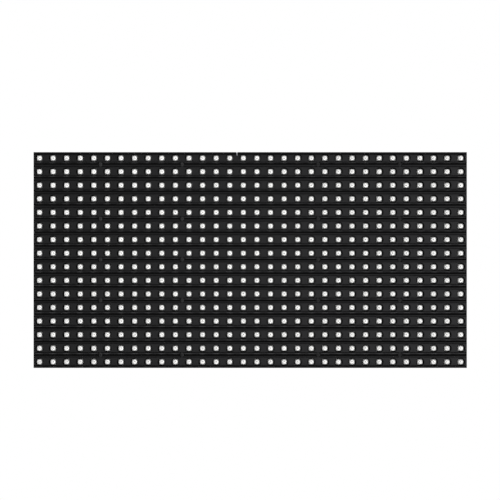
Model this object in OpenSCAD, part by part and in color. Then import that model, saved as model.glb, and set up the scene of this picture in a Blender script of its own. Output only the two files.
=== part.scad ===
// Outdoor display tile: a grid of white surface-mount lamps behind a louvred black mask.
// X runs to the right and Z up as seen from the front, Y runs to the back, in millimetres.
// The origin is the centre of the rear insert pattern, on the plane of the insert mouths.

/* [Lamp grid] */
// Distance from lamp to lamp, across and down
lamp_pitch = 10; // [9:0.5:16]
// Lamps in one row
lamp_columns = 32; // [32:2:40]
// Rows of lamps
lamp_rows = 16; // [14:2:16]
// Space left free along each side of the grid, so that neighbouring tiles don't press on each other
edge_gap = 0.7; // [0.2:0.1:1]

/* [Lamp] */
// Side of the square lamp package
lamp_side = 3.5; // [2.8:0.1:4.4]
// Height of the lamp package above the board
lamp_h = 2.8; // [2.2:0.1:3.6]
// Diameter of the cup at the lamp's face
cup_d = 2.9; // [2:0.1:3]
// Diameter of the cup at its floor
cup_floor_d = 2.1; // [1.4:0.1:2.2]
// Depth of the cup
cup_depth = 0.9; // [0.5:0.1:1.4]
// Cut on the package corner that marks the first lead
lamp_corner = 0.45; // [0.2:0.05:0.6]

/* [Mask] */
// Gap between a lamp's corners and its round window
window_gap = 0.4; // [0.1:0.05:0.6]
// Depth of the lamp's face below the mask's face
lamp_recess = 0.2; // [0:0.1:1]
// Height of a louvre above the mask's face
louvre_h = 2; // [1:0.1:4]
// Thickness of a louvre at its root
louvre_root = 3.3; // [2:0.1:3.4]
// Thickness of a louvre at its tip
louvre_tip = 0.6; // [0.4:0.1:1]
// Rise of the louvres above the middle of the gap between rows
louvre_rise = 0.3; // [0:0.1:0.5]
// Root thickness of the louvres along the top and bottom edges
edge_louvre_root = 1.4; // [1.2:0.1:2]
// Slope back of a louvre's ends, measured along the louvre
louvre_end = 1; // [0.8:0.1:3]

/* [Board and potting] */
// Thickness of the circuit board
board_t = 1.6; // [1:0.1:2.4]
// Play between the board's edge and the rim around it
board_play = 0.3; // [0.1:0.05:0.6]
// Thickness of the silicone poured over the board
potting_t = 1; // [0.6:0.1:1.6]
// Gap between the silicone and what stands in it
potting_gap = 0.05; // [0.02:0.01:0.1]

/* [Rear frame] */
// Depth from the insert mouths to the board
frame_depth = 11.5; // [11:0.1:16]
// Outer wall of the frame
frame_wall = 2.6; // [2.4:0.1:4]
// Wall of the frame's rim around the board and the silicone
board_rim_t = 1.2; // [1:0.1:1.6]
// Width of the flange around the back
flange_w = 9; // [8:0.5:12]
// Thickness of the flange
flange_t = 2.5; // [2:0.1:4]
// Thickness of the ribs across the back
rib_t = 2; // [1.4:0.1:3]
// Room left for components between the board and the ribs
rib_clear = 5; // [3:0.1:6]
// Wall around a screw's pilot hole
post_wall = 1.9; // [1.4:0.1:2.4]
// Diameter of a locating pin
locator_d = 4; // [3:0.1:5]
// Reach of a locating pin behind the insert mouths
locator_l = 4; // [2:0.5:6]
// Length of the taper at a locating pin's end
locator_tip = 0.6; // [0.4:0.1:1]

/* [Gasket] */
// Distance from the frame's edge to the gasket groove
groove_in = 2; // [1.6:0.1:2.6]
// Width of the gasket groove
groove_w = 2.2; // [1.6:0.1:2.4]
// Depth of the gasket groove
groove_depth = 1.2; // [0.8:0.1:1.6]
// Play of the gasket in its groove, on each side
gasket_play = 0.1; // [0.05:0.05:0.2]
// How far the gasket stands out of the flange
gasket_proud = 0.8; // [0.4:0.1:1.5]

/* [Threaded inserts] */
// Distance from the sides of the lamp grid to an insert
insert_inset = 10; // [10:0.5:14]
// Outer diameter of an insert
insert_d = 5.6; // [5:0.1:6.4]
// Bore of an insert
insert_bore = 3.3; // [2.5:0.1:4.2]
// Length of an insert
insert_l = 7; // [5:0.5:8]
// Depth of the knurl groove around an insert
insert_groove = 0.4; // [0.2:0.1:0.6]
// Length of the knurl groove
insert_groove_l = 1.75; // [1:0.25:2.5]
// Wall of the boss around an insert
boss_wall = 2; // [1.5:0.1:2.2]

/* [Mask screws] */
// Core diameter of a screw
screw_d = 1.8; // [1.6:0.1:2.4]
// Diameter of a screw head
head_d = 3.2; // [2.8:0.1:4]
// Height of a screw head
head_h = 1.1; // [0.8:0.1:1.4]
// How far a screw head stands out of the mask's face
head_lift = 0.3; // [0:0.1:0.6]
// Play around a screw head in its recess
head_play = 0.15; // [0.05:0.05:0.4]
// Width of the arms of the cross recess in a head
cross_w = 0.65; // [0.4:0.05:0.8]
// Span of the cross recess
cross_l = 1.9; // [1.4:0.1:2.2]
// Depth of the cross recess
cross_depth = 0.7; // [0.4:0.1:0.8]
// Cut around the rim of a head
head_edge = 0.35; // [0.2:0.05:0.5]
// Grip of a screw in its post
screw_grip = 6; // [4:0.5:7]
// Play around a screw in the mask and the board
screw_play = 0.3; // [0.1:0.1:0.5]
// Play of the screw core in its pilot hole
pilot_play = 0.05; // [0.02:0.01:0.1]
// Spare depth of the pilot hole beyond the screw's tip
pilot_spare = 1; // [0.5:0.5:2]
// Wall of the mask's pad around a screw
pad_wall = 1.4; // [1:0.1:1.8]

/* [Data headers] */
// Pins in one row of a data header
header_pins = 8; // [5:1:8]
// Distance from pin to pin
header_pitch = 2.54; // [2:0.01:2.54]
// Side of a square pin
header_pin = 0.64; // [0.5:0.01:0.64]
// Height of the shroud
header_h = 9; // [7:0.1:9.5]
// Wall of the shroud
header_wall = 1.2; // [0.8:0.1:1.4]
// Room inside the shroud around the pins
header_room = 1.93; // [1.5:0.01:2.2]
// Room inside the shroud at each end of the rows
header_end = 3.55; // [2.5:0.01:4]
// Thickness of the shroud's floor
header_floor = 2.5; // [2:0.1:3]
// Width of the key slot
header_key = 4.5; // [3:0.1:6]
// Free height of the pins above the floor
header_pin_h = 5.8; // [4:0.1:6]

/* [Power header] */
// Pins of the power header
power_pins_n = 4; // [2:1:6]
// Distance from pin to pin
power_pitch = 3.96; // [3.5:0.01:5.08]
// Side of a square pin
power_pin = 1.14; // [0.9:0.01:1.2]
// Width of the header's base
power_base_w = 7.6; // [6:0.1:9]
// Height of the base
power_base_h = 3.2; // [2.5:0.1:4]
// Thickness of the latch wall
power_wall = 1.3; // [1:0.1:2]
// Height of the latch wall
power_h = 9.4; // [7:0.1:10]
// Free height of the pins above the base
power_pin_h = 7; // [5:0.1:7.5]

/* [Components] */
// Thickness of the sheet the chip leads are cut from
lead_t = 0.2; // [0.12:0.01:0.25]
// Share of a lead's reach that stays level before it turns down
lead_shoulder = 0.4; // [0.2:0.05:0.6]
// Height of a chip's underside above the board
chip_standoff = 0.15; // [0.1:0.05:0.3]
// Draft of a chip's moulded sides
chip_draft = 0.15; // [0.05:0.05:0.3]
// Diameter of a bulk capacitor's can
can_d = 6.3; // [4:0.1:8]
// Height of a bulk capacitor above the board
can_h = 7.7; // [5.5:0.1:8]
// Height of the bulk capacitor's moulded base
can_base_h = 1; // [0.8:0.1:1.5]
// How far the base stands out around the can
can_base_margin = 0.15; // [0.1:0.05:0.3]
// Length of a chip capacitor or resistor
small_l = 2; // [1.6:0.1:3.2]
// Width of a chip capacitor or resistor
small_w = 1.25; // [0.8:0.05:1.6]
// Length of a plated end
small_end = 0.4; // [0.2:0.05:0.5]
// How far a plated end stands out around its body
small_plating = 0.03; // [0.01:0.01:0.05]

/* [Hidden] */
// A cut reaches this far past the face it opens
eps = 1;

// Overall sizes of the lamp grid, and of the tile inside it
grid_w = lamp_columns*lamp_pitch;
grid_h = lamp_rows*lamp_pitch;
module_w = grid_w - 2*edge_gap;
module_h = grid_h - 2*edge_gap;

// Depths along Y, from the back to the front
rim_y = -gasket_proud;
board_back_y = -frame_depth;
board_front_y = board_back_y - board_t;
potting_front_y = board_front_y - potting_t;
mask_face_y = board_front_y - lamp_h - lamp_recess;
head_seat_y = mask_face_y + head_h - head_lift;
rib_front_y = board_back_y + rib_clear;

// Outlines that follow from the walls and their play
board_w = module_w - 2*(board_rim_t + board_play);
board_h = module_h - 2*(board_rim_t + board_play);
window_d = lamp_side*sqrt(2) + 2*window_gap;
recess_d = head_d + 2*head_play;
pad_d = screw_d + 2*screw_play + 2*pad_wall;
screw_hole_d = screw_d + 2*screw_play;
pilot_d = screw_d + 2*pilot_play;
pilot_depth = screw_grip + pilot_spare;
post_d = pilot_d + 2*post_wall;
boss_d = insert_d + 2*boss_wall;

// Gaps between lamp columns and rows, counted from the sides of the grid
screw_column_gaps = [5, 11];
screw_row_gaps = [1, 5];
header_gap = 3;

// Places of the mask screws, on the crossings of the gaps and on the middle row gap
screw_xs = [for (g = screw_column_gaps, s = [-1, 1]) s*gap_x(g)];
screw_zs = concat([0], [for (g = screw_row_gaps, s = [-1, 1]) s*gap_z(g)]);

// Places of the inserts: the four corners, then the middles of the long sides
insert_x = grid_w/2 - insert_inset;
insert_z = grid_h/2 - insert_inset;

// Places of the chips on the board, in lamp pitches from its centre
driver_columns = [-13.5, -8, -3, 3, 8, 13.5];
driver_rows = [5, 2, -2, -5];
switch_columns = [-8, -3, 3, 8];
switch_rows = [3.5, -3.5];
buffer_shift = 1.15*lamp_pitch;
buffer_z = 0.8*lamp_pitch;
decoder_x = 2.2*lamp_pitch;
can_x = 1.2*lamp_pitch;
can_z = lamp_pitch;
small_shift = 0.66*lamp_pitch;

// Chips as body length, body width, body height, span over the leads, leads a side, pitch, lead width
driver_chip = [8.65, 3.9, 1.5, 6, 12, 0.635, 0.25];
buffer_chip = [7.2, 5.3, 1.75, 7.8, 10, 0.65, 0.3];
decoder_chip_size = [9.9, 3.9, 1.5, 6, 8, 1.27, 0.42];
switch_chip = [4.9, 3.9, 1.5, 6, 4, 1.27, 0.42];
pin_one_d = 0.7;
pin_one_depth = 0.1;

// Heights of the chip capacitors and resistors
bypass_h = 0.85;
resistor_h = 0.5;

// Crimp and rounding of the bulk capacitors
can_crimp = 0.35;
can_crimp_z = 2;
can_edge = 0.4;
can_base_side = can_d + 2*can_base_margin;
can_base_cut = 1.2;

// Header sizes that follow from the pins
header_in_w = header_pitch + header_pin + 2*header_room;
header_in_l = (header_pins - 1)*header_pitch + header_pin + 2*header_end;
header_w = header_in_w + 2*header_wall;
header_l = header_in_l + 2*header_wall;
header_x = gap_x(header_gap);
power_l = power_pins_n*power_pitch;
pin_tail = 0.6;
pin_hole_play = 0.15;
pin_fit = 0.02;

function gap_x(g) = grid_w/2 - g*lamp_pitch;
function gap_z(g) = grid_h/2 - g*lamp_pitch;
function column_x(c) = (c - (lamp_columns + 1)/2)*lamp_pitch;
function row_z(r) = ((lamp_rows + 1)/2 - r)*lamp_pitch;
function row_name(prefix, r) = str(prefix, r < 10 ? "0" : "", r);

// A block centred on X and Z between two depths
module slab(w, h, y0, y1) {
    translate([-w/2, y0, -h/2])
        cube([w, y1 - y0, h]);
}

// A round bar along Y at x, z between two depths
module bar(d, x, z, y0, y1) {
    translate([x, y0, z])
        rotate([-90, 0, 0])
            cylinder(h = y1 - y0, d = d, $fn = 48);
}

// Children stand on the board's front or back, with their own Z away from it
module on_front(x, z) {
    translate([x, board_front_y, z])
        rotate([90, 0, 0])
            children();
}

module on_back(x, z, turn = 0) {
    translate([x, board_back_y, z])
        rotate([-90, 0, 0])
            rotate([0, 0, turn])
                children();
}

module at_screws() {
    for (x = screw_xs, z = screw_zs)
        translate([x, 0, z])
            children();
}

module at_inserts() {
    for (x = [-insert_x, 0, insert_x], z = [-insert_z, insert_z])
        translate([x, 0, z])
            children();
}

module at_lamps() {
    for (c = [1:lamp_columns], r = [1:lamp_rows])
        translate([column_x(c), 0, row_z(r)])
            children();
}

// Mask

// A wedge along the whole width, with its root on the mask's face
module louvre(z, root) {
    translate([-module_w/2, mask_face_y, z])
        rotate([90, 0, 90])
            linear_extrude(module_w)
                polygon([
                    [0, -root/2],
                    [0, root/2],
                    [-louvre_h, louvre_tip/2],
                    [-louvre_h, -louvre_tip/2]
                ]);
}

// Louvres between the rows and along both edges, with ends that slope back from the sides
module louvres() {
    edge_z = (module_h - edge_louvre_root)/2;
    tip_x = module_w/2 - louvre_end;
    tip_y = mask_face_y - louvre_h;
    intersection() {
        union() {
            for (k = [1:lamp_rows - 1])
                louvre(gap_z(k) + louvre_rise, louvre_root);
            for (s = [-1, 1])
                louvre(s*edge_z, edge_louvre_root);
        }
        translate([0, 0, -module_h/2])
            linear_extrude(module_h)
                polygon([
                    [-module_w/2, mask_face_y],
                    [-tip_x, tip_y],
                    [tip_x, tip_y],
                    [module_w/2, mask_face_y]
                ]);
    }
}

module mask_cuts() {
    tip_y = mask_face_y - louvre_h - eps;
    at_lamps()
        bar(window_d, 0, 0, tip_y, potting_front_y + eps);
    at_screws() {
        bar(recess_d, 0, louvre_rise, tip_y, head_seat_y);
        bar(screw_hole_d, 0, louvre_rise, tip_y, board_front_y + eps);
    }
}

module front_mask() {
    color("#2b2b2e")
        difference() {
            union() {
                slab(module_w, module_h, mask_face_y, potting_front_y);
                louvres();
                at_screws()
                    bar(pad_d, 0, louvre_rise, potting_front_y, board_front_y);
            }
            mask_cuts();
        }
}

// Potting and board

module potting() {
    hole = lamp_side + 2*potting_gap;
    color("#1c1c1f")
        difference() {
            slab(board_w, board_h, potting_front_y, board_front_y);
            at_lamps()
                slab(hole, hole, potting_front_y - eps, board_front_y + eps);
            at_screws()
                bar(pad_d + 2*potting_gap, 0, louvre_rise, potting_front_y - eps, board_front_y + eps);
            header_holes(potting_front_y - eps, board_front_y + eps, potting_gap);
        }
}

// Holes for the pins of the headers, with play around each pin
module header_holes(y0, y1, play) {
    for (s = [-1, 1], i = [0:header_pins - 1], t = [-1, 1])
        translate([s*header_x + t*header_pitch/2, 0, pin_offset(i, header_pins, header_pitch)])
            bar(header_pin*sqrt(2) + 2*play, 0, 0, y0, y1);
    for (i = [0:power_pins_n - 1])
        bar(power_pin*sqrt(2) + 2*play, 0, pin_offset(i, power_pins_n, power_pitch), y0, y1);
}

function pin_offset(i, n, pitch) = (i - (n - 1)/2)*pitch;

module circuit_board() {
    color("#123d2a")
        difference() {
            slab(board_w, board_h, board_front_y, board_back_y);
            at_screws()
                bar(screw_hole_d, 0, louvre_rise, board_front_y - eps, board_back_y + eps);
            header_holes(board_front_y - eps, board_back_y + eps, pin_hole_play);
        }
}

// Lamps

module lamp_cup() {
    translate([0, 0, lamp_h - cup_depth])
        cylinder(h = cup_depth, d1 = cup_floor_d, d2 = cup_d, $fn = 32);
}

module lamp_package() {
    s = lamp_side/2;
    difference() {
        linear_extrude(lamp_h)
            polygon([[-s, -s], [s, -s], [s, s - lamp_corner], [s - lamp_corner, s], [-s, s]]);
        lamp_cup();
    }
}

module lamp_row(r) {
    color("#f2f1ec")
        for (c = [1:lamp_columns])
            on_front(column_x(c), row_z(r))
                lamp_package();
}

module resin_row(r) {
    color("#fbfbf6")
        for (c = [1:lamp_columns])
            on_front(column_x(c), row_z(r))
                lamp_cup();
}

// Rear frame

module ring(w, h, t, y0, y1) {
    difference() {
        slab(w, h, y0, y1);
        slab(w - 2*t, h - 2*t, y0 - eps, y1 + eps);
    }
}

// A rib from x0 to x1 at height z, or from z0 to z1 at x
module rib_along_x(x0, x1, z, y0 = rib_front_y) {
    translate([x0, y0, z - rib_t/2])
        cube([x1 - x0, rim_y - y0, rib_t]);
}

module rib_along_z(x, z0, z1, y0 = rib_front_y) {
    translate([x - rib_t/2, y0, z0])
        cube([rib_t, rim_y - y0, z1 - z0]);
}

module frame_ribs() {
    side_x = module_w/2 - frame_wall;
    side_z = module_h/2 - frame_wall;
    outer_x = gap_x(screw_column_gaps[0]);
    inner_x = gap_x(screw_column_gaps[1]);
    mid_z = gap_z(screw_row_gaps[1]);
    for (x = screw_xs)
        rib_along_z(x, -side_z, side_z);
    for (z = [-mid_z, mid_z]) {
        rib_along_x(-inner_x, inner_x, z);
        rib_along_x(-side_x, -outer_x, z);
        rib_along_x(outer_x, side_x, z);
    }
    rib_along_x(-outer_x, -inner_x, 0);
    rib_along_x(inner_x, outer_x, 0);
}

// Webs that tie each insert boss to the walls beside it
module boss_webs() {
    side_x = module_w/2 - frame_wall;
    side_z = module_h/2 - frame_wall;
    for (z = [-1, 1]) {
        for (x = [-insert_x, 0, insert_x])
            rib_along_z(x, z > 0 ? insert_z : -side_z, z > 0 ? side_z : -insert_z);
        rib_along_x(-side_x, -insert_x, z*insert_z);
        rib_along_x(insert_x, side_x, z*insert_z);
    }
}

module gasket_ring(play, y0, y1) {
    inset = groove_in + play;
    ring(module_w - 2*inset, module_h - 2*inset, groove_w - 2*play, y0, y1);
}

// A locating pin with a tapered end
module locator(x) {
    taper_y = locator_l - locator_tip;
    bar(locator_d, x, louvre_rise, rim_y - flange_t, taper_y);
    translate([x, taper_y, louvre_rise])
        rotate([-90, 0, 0])
            cylinder(h = locator_tip, d1 = locator_d, d2 = locator_d - 2*locator_tip, $fn = 48);
}

// The board rests on the step where the thin rim around it meets the outer wall
module rear_frame() {
    color("#232326")
        difference() {
            union() {
                ring(module_w, module_h, board_rim_t, potting_front_y, rim_y);
                ring(module_w, module_h, frame_wall, board_back_y, rim_y);
                ring(module_w, module_h, flange_w, rim_y - flange_t, rim_y);
                frame_ribs();
                boss_webs();
                at_screws()
                    bar(post_d, 0, louvre_rise, board_back_y, rim_y);
                at_inserts()
                    bar(boss_d, 0, 0, board_back_y, 0);
                for (x = [-1, 1]*gap_x(screw_column_gaps[0]))
                    locator(x);
            }
            gasket_ring(0, rim_y - groove_depth, rim_y + eps);
            at_screws()
                bar(pilot_d, 0, louvre_rise, board_back_y - eps, board_back_y + pilot_depth);
            at_inserts()
                bar(insert_d, 0, 0, -insert_l, eps);
        }
}

module rear_gasket() {
    color("#3a3a3d")
        gasket_ring(gasket_play, rim_y - groove_depth, 0);
}

// Fasteners

module insert() {
    groove_start = (insert_l - insert_groove_l)/2;
    groove_end = groove_start + insert_groove_l;
    rotate([90, 0, 0])
        rotate_extrude($fn = 48)
            polygon([
                [insert_bore/2, 0],
                [insert_d/2, 0],
                [insert_d/2, groove_start],
                [insert_d/2 - insert_groove, groove_start],
                [insert_d/2 - insert_groove, groove_end],
                [insert_d/2, groove_end],
                [insert_d/2, insert_l],
                [insert_bore/2, insert_l]
            ]);
}

module frame_inserts() {
    color("#b89445")
        at_inserts()
            insert();
}

module mask_screw() {
    shank_l = board_back_y - head_seat_y + screw_grip;
    translate([0, head_seat_y, louvre_rise])
        rotate([90, 0, 0])
            difference() {
                rotate_extrude($fn = 32)
                    polygon([
                        [0, -shank_l],
                        [screw_d/4, -shank_l],
                        [screw_d/2, -shank_l + screw_d/2],
                        [screw_d/2, 0],
                        [head_d/2, 0],
                        [head_d/2, head_h - head_edge],
                        [head_d/2 - head_edge, head_h],
                        [0, head_h]
                    ]);
                for (turn = [0, 90])
                    rotate([0, 0, turn])
                        translate([-cross_l/2, -cross_w/2, head_h - cross_depth])
                            cube([cross_l, cross_w, cross_depth + eps]);
            }
}

module mask_screws() {
    color("#151517")
        at_screws()
            mask_screw();
}

// Chips

module chip_body(chip) {
    l = chip[0];
    w = chip[1];
    h = chip[2];
    difference() {
        translate([-l/2, 0, chip_standoff])
            rotate([90, 0, 90])
                linear_extrude(l)
                    polygon([
                        [-w/2 + chip_draft, 0],
                        [w/2 - chip_draft, 0],
                        [w/2, h/2],
                        [w/2 - chip_draft, h],
                        [-w/2 + chip_draft, h],
                        [-w/2, h/2]
                    ]);
        translate([-l/2 + 2*pin_one_d, -w/2 + 2*pin_one_d, chip_standoff + h - pin_one_depth])
            cylinder(h = pin_one_depth + eps, d = pin_one_d, $fn = 24);
    }
}

// Gull-wing leads along both long sides
module chip_leads(chip) {
    start = chip[1]/2;
    end = chip[3]/2;
    knee = start + (end - start)*lead_shoulder;
    top = chip_standoff + chip[2]/2 + lead_t/2;
    for (i = [0:chip[4] - 1], side = [0, 180])
        rotate([0, 0, side])
            translate([pin_offset(i, chip[4], chip[5]) - chip[6]/2, 0, 0])
                rotate([90, 0, 90])
                    linear_extrude(chip[6])
                        polygon([
                            [start, top - lead_t],
                            [start, top],
                            [knee, top],
                            [knee + lead_t, lead_t],
                            [end, lead_t],
                            [end, 0],
                            [knee, 0],
                            [knee - lead_t, top - lead_t]
                        ]);
}

module at_drivers(row) {
    for (c = driver_columns)
        on_back(c*lamp_pitch, driver_rows[row - 1]*lamp_pitch)
            children();
}

module at_buffers() {
    for (s = [-1, 1], t = [-1, 1])
        on_back(s*(header_x - buffer_shift), t*buffer_z, 90)
            children();
}

module at_decoder() {
    on_back(decoder_x, 0, 90)
        children();
}

module at_switches() {
    for (c = switch_columns, r = switch_rows)
        on_back(c*lamp_pitch, r*lamp_pitch)
            children();
}

module driver_bank(row) {
    color("#1a1a1c")
        at_drivers(row)
            chip_body(driver_chip);
}

module driver_leads() {
    color("#c9cacb")
        for (row = [1:len(driver_rows)])
            at_drivers(row)
                chip_leads(driver_chip);
}

module buffer_chips() {
    color("#1a1a1c")
        at_buffers()
            chip_body(buffer_chip);
}

module decoder_chip() {
    color("#1a1a1c")
        at_decoder()
            chip_body(decoder_chip_size);
}

module row_switches() {
    color("#1a1a1c")
        at_switches()
            chip_body(switch_chip);
}

module logic_leads() {
    color("#c9cacb") {
        at_buffers()
            chip_leads(buffer_chip);
        at_decoder()
            chip_leads(decoder_chip_size);
        at_switches()
            chip_leads(switch_chip);
    }
}

// Capacitors and resistors

module at_cans() {
    for (s = [-1, 1], t = [-1, 1])
        on_back(s*can_x, t*can_z)
            children();
}

module capacitor_cans() {
    r = can_d/2;
    color("#b9bcc0")
        at_cans()
            rotate_extrude($fn = 48)
                polygon([
                    [0, can_base_h],
                    [r, can_base_h],
                    [r, can_crimp_z],
                    [r - can_crimp, can_crimp_z + can_crimp],
                    [r, can_crimp_z + 2*can_crimp],
                    [r, can_h - can_edge],
                    [r - can_edge, can_h],
                    [0, can_h]
                ]);
}

module capacitor_bases() {
    s = can_base_side/2;
    color("#202022")
        at_cans()
            linear_extrude(can_base_h)
                polygon([
                    [-s, -s],
                    [s - can_base_cut, -s],
                    [s, -s + can_base_cut],
                    [s, s - can_base_cut],
                    [s - can_base_cut, s],
                    [-s, s]
                ]);
}

// The ceramic middle of a small part, then its two plated ends
module small_body(h) {
    mid = small_l - 2*small_end;
    translate([-mid/2, -small_w/2, small_plating])
        cube([mid, small_w, h]);
}

module small_ends(h) {
    w = small_w + 2*small_plating;
    for (x = [-small_l/2, small_l/2 - small_end])
        translate([x, -w/2, 0])
            cube([small_end, w, h + 2*small_plating]);
}

module at_small(side) {
    for (c = driver_columns, r = driver_rows)
        on_back(c*lamp_pitch + side*small_shift, r*lamp_pitch, 90)
            children();
}

module bypass_capacitors() {
    color("#b79a72")
        at_small(1)
            small_body(bypass_h);
}

module set_resistors() {
    color("#1f1f22")
        at_small(-1)
            small_body(resistor_h);
}

module end_caps() {
    color("#cfd0d1") {
        at_small(1)
            small_ends(bypass_h);
        at_small(-1)
            small_ends(resistor_h);
    }
}

// Headers

module square_hole(side, x, y) {
    translate([x - side/2, y - side/2, -eps])
        cube([side, side, header_floor + 2*eps]);
}

module box_header() {
    difference() {
        translate([-header_w/2, -header_l/2, 0])
            cube([header_w, header_l, header_h]);
        translate([-header_in_w/2, -header_in_l/2, header_floor])
            cube([header_in_w, header_in_l, header_h]);
        translate([0, -header_key/2, header_floor])
            cube([header_w, header_key, header_h]);
        for (t = [-1, 1], i = [0:header_pins - 1])
            square_hole(header_pin + 2*pin_fit, t*header_pitch/2, pin_offset(i, header_pins, header_pitch));
    }
}

// A square pin at x, y, from its soldered tail to its free end
module pin(side, x, y, top) {
    bottom = -board_t - pin_tail;
    translate([x - side/2, y - side/2, bottom])
        cube([side, side, top - bottom]);
}

module box_pins() {
    for (t = [-1, 1], i = [0:header_pins - 1])
        pin(header_pin, t*header_pitch/2, pin_offset(i, header_pins, header_pitch),
            header_floor + header_pin_h);
}

module input_header() {
    color("#17171a")
        on_back(-header_x, 0)
            box_header();
}

module output_header() {
    color("#17171a")
        on_back(header_x, 0, 180)
            box_header();
}

module input_pins() {
    color("#cdb26a")
        on_back(-header_x, 0)
            box_pins();
}

module output_pins() {
    color("#cdb26a")
        on_back(header_x, 0)
            box_pins();
}

module power_header() {
    color("#e9e6da")
        on_back(0, 0)
            difference() {
                union() {
                    translate([-power_base_w/2, -power_l/2, 0])
                        cube([power_base_w, power_l, power_base_h]);
                    translate([-power_base_w/2, -power_l/2, 0])
                        cube([power_wall, power_l, power_h]);
                }
                for (i = [0:power_pins_n - 1])
                    translate([0, pin_offset(i, power_pins_n, power_pitch), 0])
                        square_hole(power_pin + 2*pin_fit, 0, 0);
            }
}

module power_pins() {
    color("#c4c6c8")
        on_back(0, 0)
            for (i = [0:power_pins_n - 1])
                pin(power_pin, 0, pin_offset(i, power_pins_n, power_pitch), power_base_h + power_pin_h);
}

front_mask();
potting();
circuit_board();
for (r = [1:lamp_rows]) {
    lamp_row(r);
    resin_row(r);
}
rear_frame();
rear_gasket();
frame_inserts();
mask_screws();
for (b = [1:len(driver_rows)])
    driver_bank(b);
driver_leads();
buffer_chips();
decoder_chip();
row_switches();
logic_leads();
capacitor_cans();
capacitor_bases();
bypass_capacitors();
set_resistors();
end_caps();
input_header();
output_header();
input_pins();
output_pins();
power_header();
power_pins();
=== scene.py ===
# %% [markdown]
# # A lamp display tile, dressed for its portrait
# The tile's solids arrive finished: mask, lamps, board, frame and every chip already have their real
# size and place. This lesson gives them their surfaces, adds the fine work that is too small for the
# solids, and lights a plain white studio around them. Everything is in metres, X to the right, Y to the
# back and Z up, so a piece can be placed straight from what the solids measure.

# %% Load the solids
import math

import bmesh
import bpy
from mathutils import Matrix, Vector


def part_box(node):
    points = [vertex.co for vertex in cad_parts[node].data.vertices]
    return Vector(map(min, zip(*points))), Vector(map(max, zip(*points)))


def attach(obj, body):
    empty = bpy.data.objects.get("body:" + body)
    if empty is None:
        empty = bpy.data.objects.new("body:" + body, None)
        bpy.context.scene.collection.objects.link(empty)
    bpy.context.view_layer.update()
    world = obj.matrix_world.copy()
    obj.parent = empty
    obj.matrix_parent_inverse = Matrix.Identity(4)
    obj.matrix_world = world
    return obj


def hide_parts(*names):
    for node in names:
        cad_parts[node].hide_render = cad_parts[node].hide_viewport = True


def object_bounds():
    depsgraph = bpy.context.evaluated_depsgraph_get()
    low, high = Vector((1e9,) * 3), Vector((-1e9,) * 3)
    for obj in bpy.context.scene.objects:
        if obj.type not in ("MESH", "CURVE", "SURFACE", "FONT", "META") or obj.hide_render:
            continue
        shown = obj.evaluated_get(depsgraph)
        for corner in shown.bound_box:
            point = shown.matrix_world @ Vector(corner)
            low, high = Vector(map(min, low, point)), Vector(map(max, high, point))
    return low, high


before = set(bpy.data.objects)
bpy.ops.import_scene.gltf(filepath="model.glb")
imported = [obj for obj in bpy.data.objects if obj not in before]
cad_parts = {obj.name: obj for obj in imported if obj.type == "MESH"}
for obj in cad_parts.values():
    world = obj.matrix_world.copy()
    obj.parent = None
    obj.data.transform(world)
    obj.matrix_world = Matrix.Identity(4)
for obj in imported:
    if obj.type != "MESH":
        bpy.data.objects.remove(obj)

MM = 0.001
cad_low, cad_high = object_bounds()
tile_size = cad_high - cad_low
print("tile size in mm:", [round(v / MM, 1) for v in tile_size])

# %% [markdown]
# ## Finding every small part
# A node such as a row of lamps holds many separate solids. Their centres could be typed in again from the
# drawing, but then a changed drawing would leave them behind. Instead the mesh is split into its loose
# parts, and each part reports its own box.

# %% Measure loose parts
PLACE_DIGITS = 6


def loose_boxes(node):
    """Lowest and highest corner of each separate solid in a node."""
    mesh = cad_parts[node].data
    places = {}
    index = []
    for vertex in mesh.vertices:
        key = tuple(round(c, PLACE_DIGITS) for c in vertex.co)
        index.append(places.setdefault(key, len(places)))
    parent = list(range(len(places)))

    def root(i):
        while parent[i] != i:
            parent[i] = parent[parent[i]]
            i = parent[i]
        return i

    for face in mesh.polygons:
        first = root(index[face.vertices[0]])
        for i in face.vertices[1:]:
            parent[root(index[i])] = first
    boxes = {}
    for place, i in places.items():
        low, high = boxes.setdefault(root(i), (Vector(place), Vector(place)))
        for axis in range(3):
            low[axis] = min(low[axis], place[axis])
            high[axis] = max(high[axis], place[axis])
    return list(boxes.values())


def centre(box):
    return (box[0] + box[1]) / 2


lamp_nodes = sorted(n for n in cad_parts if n.startswith("lamp_row_"))
resin_nodes = sorted(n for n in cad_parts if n.startswith("resin_row_"))
lamp_boxes = [box for n in lamp_nodes for box in loose_boxes(n)]
resin_box = loose_boxes(resin_nodes[0])[0]
lamp_face_y = lamp_boxes[0][0].y
cup_floor_y = resin_box[1].y
board_back_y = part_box("circuit_board")[1].y
print(len(lamp_boxes), "lamps, cups", round((cup_floor_y - lamp_face_y) / MM, 2), "mm deep")

# %% [markdown]
# ## The studio
# The tile stands square to the camera on pure white, as in a product cut-out. A wide pale floor and a white
# sky give that ground from every side, with no backdrop to stand in the way of a view from behind. The
# camera sees both as plain white, and how much light they give is set apart from that: little from the sky,
# so that the black plastic keeps its depth, and more from the floor, for the lower flanks of the louvres.

# %% Floor and sky
SEEN_WHITE = 1.0
SKY_LIGHT = 0.2
FLOOR_LIGHT = 1.3
FLOOR_HALF = 12.0
scene = bpy.context.scene
scene.view_settings.view_transform = "Standard"
scene.view_settings.look = "None"


def seen_or_lit(tree, seen, lit, output):
    """Show one shader to the camera, and let the other one light the scene."""
    ray_kind = tree.nodes.new("ShaderNodeLightPath")
    choice = tree.nodes.new("ShaderNodeMixShader")
    tree.links.new(ray_kind.outputs["Is Camera Ray"], choice.inputs["Fac"])
    tree.links.new(lit.outputs[0], choice.inputs[1])
    tree.links.new(seen.outputs[0], choice.inputs[2])
    tree.links.new(choice.outputs["Shader"], output.inputs["Surface"])


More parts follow.
